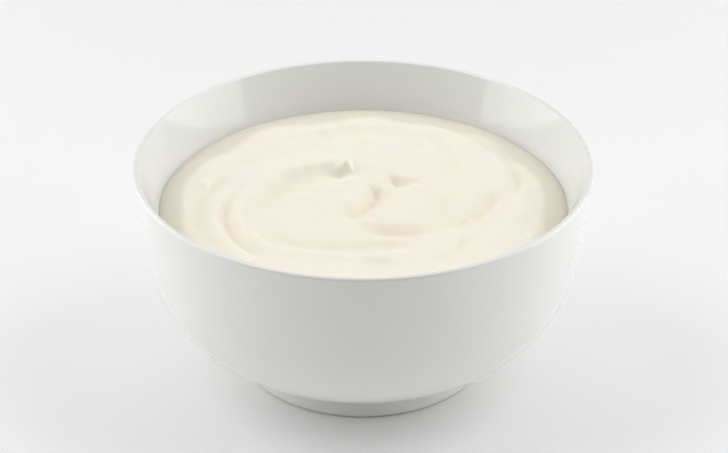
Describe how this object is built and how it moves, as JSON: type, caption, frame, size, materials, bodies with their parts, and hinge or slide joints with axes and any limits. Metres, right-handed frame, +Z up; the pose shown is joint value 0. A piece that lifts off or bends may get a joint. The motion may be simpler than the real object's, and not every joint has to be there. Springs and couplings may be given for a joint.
{
  "type": "bowl of yogurt",
  "caption": "Round footed porcelain bowl filled with thick stirred yogurt, its surface swirled into soft ridges and troughs round a small peak.",
  "frame": {"origin": "centre of the foot ring, on the surface that the bowl stands on", "axes": "+Z up along the bowl's axis, +X to the right and +Y to the back as the swirl is seen from the front"},
  "size_m": [0.14, 0.14, 0.0683],
  "materials": {
    "porcelain": "gloss",
    "yogurt": "satin"
  },
  "bodies": {
    "root": {"bowl": "porcelain", "yogurt": "yogurt"}
  },
  "joints": []
}
